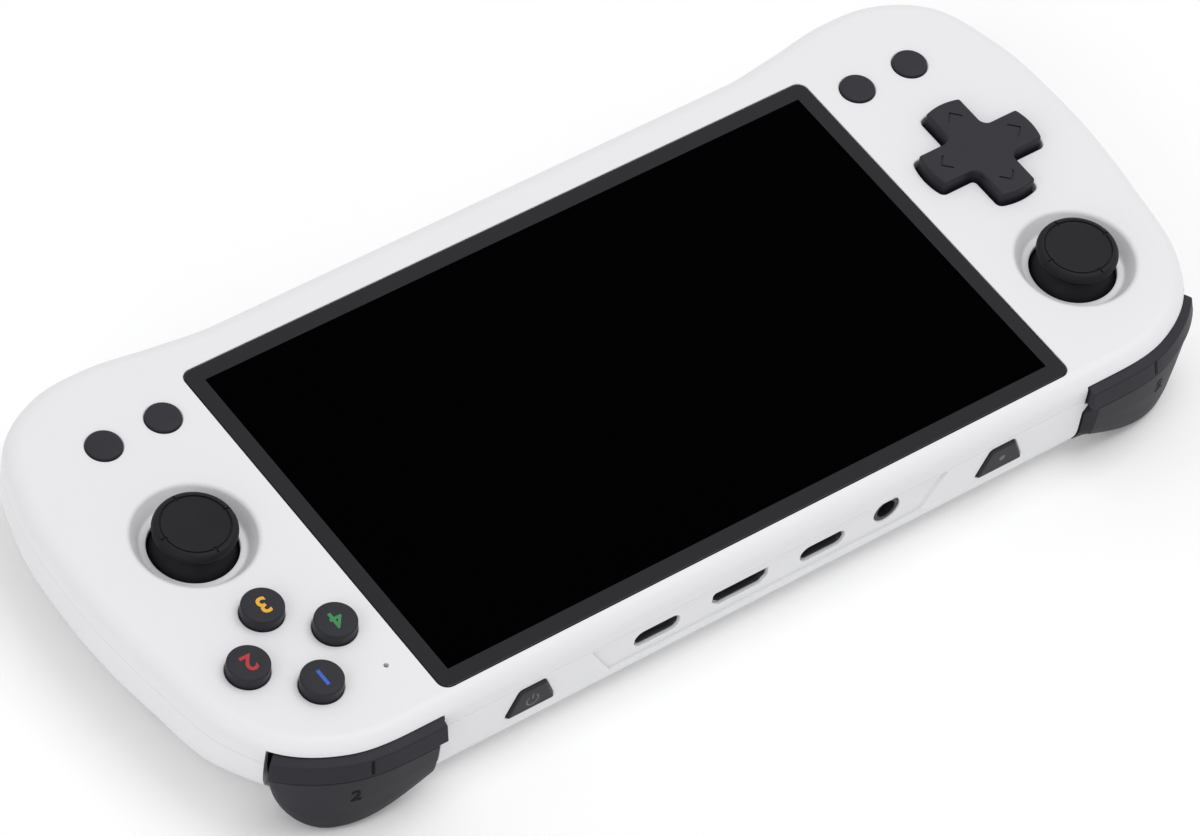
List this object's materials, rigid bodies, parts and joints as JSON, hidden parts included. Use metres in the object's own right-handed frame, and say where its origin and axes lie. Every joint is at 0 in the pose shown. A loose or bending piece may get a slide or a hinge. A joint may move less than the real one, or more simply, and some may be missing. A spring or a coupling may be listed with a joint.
{
  "type": "handheld game console",
  "caption": "Wide handheld game console with a central screen, thumb sticks, direction pad, round keys, shoulder levers and a row of ports in the top wall.",
  "frame": {"origin": "bottom centre of the whole console lying on its back", "axes": "+X to the right as held, +Y towards the port wall and the shoulder levers, +Z out of the screen"},
  "size_m": [0.204, 0.09, 0.0228],
  "materials": {
    "shell_white": "fine satin white moulding",
    "key_plastic": "satin dark grey moulding",
    "stick_rubber": "soft matte black rubber",
    "screen_glass": "black glass with a dark grey printed border",
    "display_black": "black film and adhesive",
    "membrane_rubber": "pale translucent silicone",
    "ribbon_film": "amber polyimide film",
    "board_green": "green solder mask",
    "battery_wrap": "blue shrink wrap",
    "pad_foam": "white adhesive foam",
    "plated_steel": "nickel plated sheet and wire",
    "ivory_plastic": "unpainted acetal",
    "black_plastic": "black glass filled plastic"
  },
  "bodies": {
    "case": {"front_shell": "shell_white", "back_shell": "shell_white", "screen_glass": "screen_glass", "screen_tape": "display_black", "display_panel": "display_black", "display_ribbon": "ribbon_film", "face_membrane": "membrane_rubber", "pad_membrane": "membrane_rubber", "function_membrane_left": "membrane_rubber", "function_membrane_right": "membrane_rubber", "stick_housing_left": "plated_steel", "stick_housing_right": "plated_steel", "shoulder_pins": "plated_steel", "shoulder_switches": "black_plastic", "edge_switches": "black_plastic", "usb_socket_left": "plated_steel", "usb_socket_right": "plated_steel", "hdmi_socket": "plated_steel", "audio_jack": "black_plastic", "card_socket": "plated_steel", "mainboard": "board_green", "shield_can": "plated_steel", "control_board_left": "board_green", "control_board_right": "board_green", "control_ribbon_left": "ribbon_film", "control_ribbon_right": "ribbon_film", "microphone": "black_plastic", "battery": "battery_wrap", "battery_pad": "pad_foam", "speaker_left": "black_plastic", "speaker_right": "black_plastic", "case_screws": "plated_steel", "board_screws": "plated_steel"},
    "face_top": {"face_button_top": "key_plastic"},
    "face_bottom": {"face_button_bottom": "key_plastic"},
    "face_left": {"face_button_left": "key_plastic"},
    "face_right": {"face_button_right": "key_plastic"},
    "function_left_outer": {"function_button_left_outer": "key_plastic"},
    "function_left_inner": {"function_button_left_inner": "key_plastic"},
    "function_right_outer": {"function_button_right_outer": "key_plastic"},
    "function_right_inner": {"function_button_right_inner": "key_plastic"},
    "power": {"power_button": "key_plastic"},
    "reset": {"reset_button": "key_plastic"},
    "pad_gimbal": {"pad_pivot": "plated_steel"},
    "pad": {"direction_pad": "key_plastic"},
    "stick_left_cradle": {"stick_cradle_left": "black_plastic"},
    "stick_left_yoke": {"stick_yoke_left": "ivory_plastic"},
    "stick_left": {"stick_cap_left": "stick_rubber", "stick_shaft_left": "plated_steel"},
    "stick_right_cradle": {"stick_cradle_right": "black_plastic"},
    "stick_right_yoke": {"stick_yoke_right": "ivory_plastic"},
    "stick_right": {"stick_cap_right": "stick_rubber", "stick_shaft_right": "plated_steel"},
    "bumper_left": {"bumper_left": "key_plastic"},
    "trigger_left": {"trigger_left": "key_plastic"},
    "bumper_right": {"bumper_right": "key_plastic"},
    "trigger_right": {"trigger_right": "key_plastic"}
  },
  "joints": [
    {"name": "face_top_press", "type": "slide", "parent": "case", "child": "face_top", "axis": [0, 0, -1], "range_m": [0, 0.0012], "stiffness_N_per_m": 1000, "deforming": ["face_membrane"]},
    {"name": "face_bottom_press", "type": "slide", "parent": "case", "child": "face_bottom", "axis": [0, 0, -1], "range_m": [0, 0.0012], "stiffness_N_per_m": 1000, "deforming": ["face_membrane"]},
    {"name": "face_left_press", "type": "slide", "parent": "case", "child": "face_left", "axis": [0, 0, -1], "range_m": [0, 0.0012], "stiffness_N_per_m": 1000, "deforming": ["face_membrane"]},
    {"name": "face_right_press", "type": "slide", "parent": "case", "child": "face_right", "axis": [0, 0, -1], "range_m": [0, 0.0012], "stiffness_N_per_m": 1000, "deforming": ["face_membrane"]},
    {"name": "function_left_outer_press", "type": "slide", "parent": "case", "child": "function_left_outer", "axis": [0, 0, -1], "range_m": [0, 0.0004], "stiffness_N_per_m": 2000, "deforming": ["function_membrane_left"]},
    {"name": "function_left_inner_press", "type": "slide", "parent": "case", "child": "function_left_inner", "axis": [0, 0, -1], "range_m": [0, 0.0004], "stiffness_N_per_m": 2000, "deforming": ["function_membrane_left"]},
    {"name": "function_right_outer_press", "type": "slide", "parent": "case", "child": "function_right_outer", "axis": [0, 0, -1], "range_m": [0, 0.0004], "stiffness_N_per_m": 2000, "deforming": ["function_membrane_right"]},
    {"name": "function_right_inner_press", "type": "slide", "parent": "case", "child": "function_right_inner", "axis": [0, 0, -1], "range_m": [0, 0.0004], "stiffness_N_per_m": 2000, "deforming": ["function_membrane_right"]},
    {"name": "power_press", "type": "slide", "parent": "case", "child": "power", "axis": [0, -1, 0], "range_m": [0, 0.0004], "stiffness_N_per_m": 2000},
    {"name": "reset_press", "type": "slide", "parent": "case", "child": "reset", "axis": [0, -1, 0], "range_m": [0, 0.0004], "stiffness_N_per_m": 2000},
    {"name": "pad_rock_up_down", "type": "hinge", "parent": "case", "child": "pad_gimbal", "pos_m": [-0.0802, -0.00615, 0.0151], "axis": [1, 0, 0], "range_deg": [-4, 4], "stiffness_Nm_per_rad": 0.12, "deforming": ["pad_membrane"]},
    {"name": "pad_rock_left_right", "type": "hinge", "parent": "pad_gimbal", "child": "pad", "pos_m": [-0.0802, -0.00615, 0.0151], "axis": [0, 1, 0], "range_deg": [-4, 4], "stiffness_Nm_per_rad": 0.12, "deforming": ["pad_membrane"]},
    {"name": "stick_left_click", "type": "slide", "parent": "case", "child": "stick_left_cradle", "axis": [0, 0, -1], "range_m": [0, 0.0004], "stiffness_N_per_m": 6000},
    {"name": "stick_left_up_down", "type": "hinge", "parent": "stick_left_cradle", "child": "stick_left_yoke", "pos_m": [-0.0802, 0.0205, 0.012], "axis": [1, 0, 0], "range_deg": [-12, 12], "stiffness_Nm_per_rad": 0.05},
    {"name": "stick_left_left_right", "type": "hinge", "parent": "stick_left_yoke", "child": "stick_left", "pos_m": [-0.0802, 0.0205, 0.012], "axis": [0, 1, 0], "range_deg": [-12, 12], "stiffness_Nm_per_rad": 0.05},
    {"name": "stick_right_click", "type": "slide", "parent": "case", "child": "stick_right_cradle", "axis": [0, 0, -1], "range_m": [0, 0.0004], "stiffness_N_per_m": 6000},
    {"name": "stick_right_up_down", "type": "hinge", "parent": "stick_right_cradle", "child": "stick_right_yoke", "pos_m": [0.0802, -0.00615, 0.012], "axis": [1, 0, 0], "range_deg": [-12, 12], "stiffness_Nm_per_rad": 0.05},
    {"name": "stick_right_left_right", "type": "hinge", "parent": "stick_right_yoke", "child": "stick_right", "pos_m": [0.0802, -0.00615, 0.012], "axis": [0, 1, 0], "range_deg": [-12, 12], "stiffness_Nm_per_rad": 0.05},
    {"name": "bumper_left_press", "type": "hinge", "parent": "case", "child": "bumper_left", "pos_m": [-0.07, 0.0372, 0.01], "axis": [0, 0, 1], "range_deg": [0, 1.5], "stiffness_Nm_per_rad": 1.2},
    {"name": "trigger_left_press", "type": "hinge", "parent": "case", "child": "trigger_left", "pos_m": [-0.07, 0.0372, 0.01], "axis": [0, 0, 1], "range_deg": [0, 3], "stiffness_Nm_per_rad": 0.6},
    {"name": "bumper_right_press", "type": "hinge", "parent": "case", "child": "bumper_right", "pos_m": [0.07, 0.0372, 0.01], "axis": [0, 0, 1], "range_deg": [-1.5, 0], "stiffness_Nm_per_rad": 1.2},
    {"name": "trigger_right_press", "type": "hinge", "parent": "case", "child": "trigger_right", "pos_m": [0.07, 0.0372, 0.01], "axis": [0, 0, 1], "range_deg": [-3, 0], "stiffness_Nm_per_rad": 0.6}
  ]
}
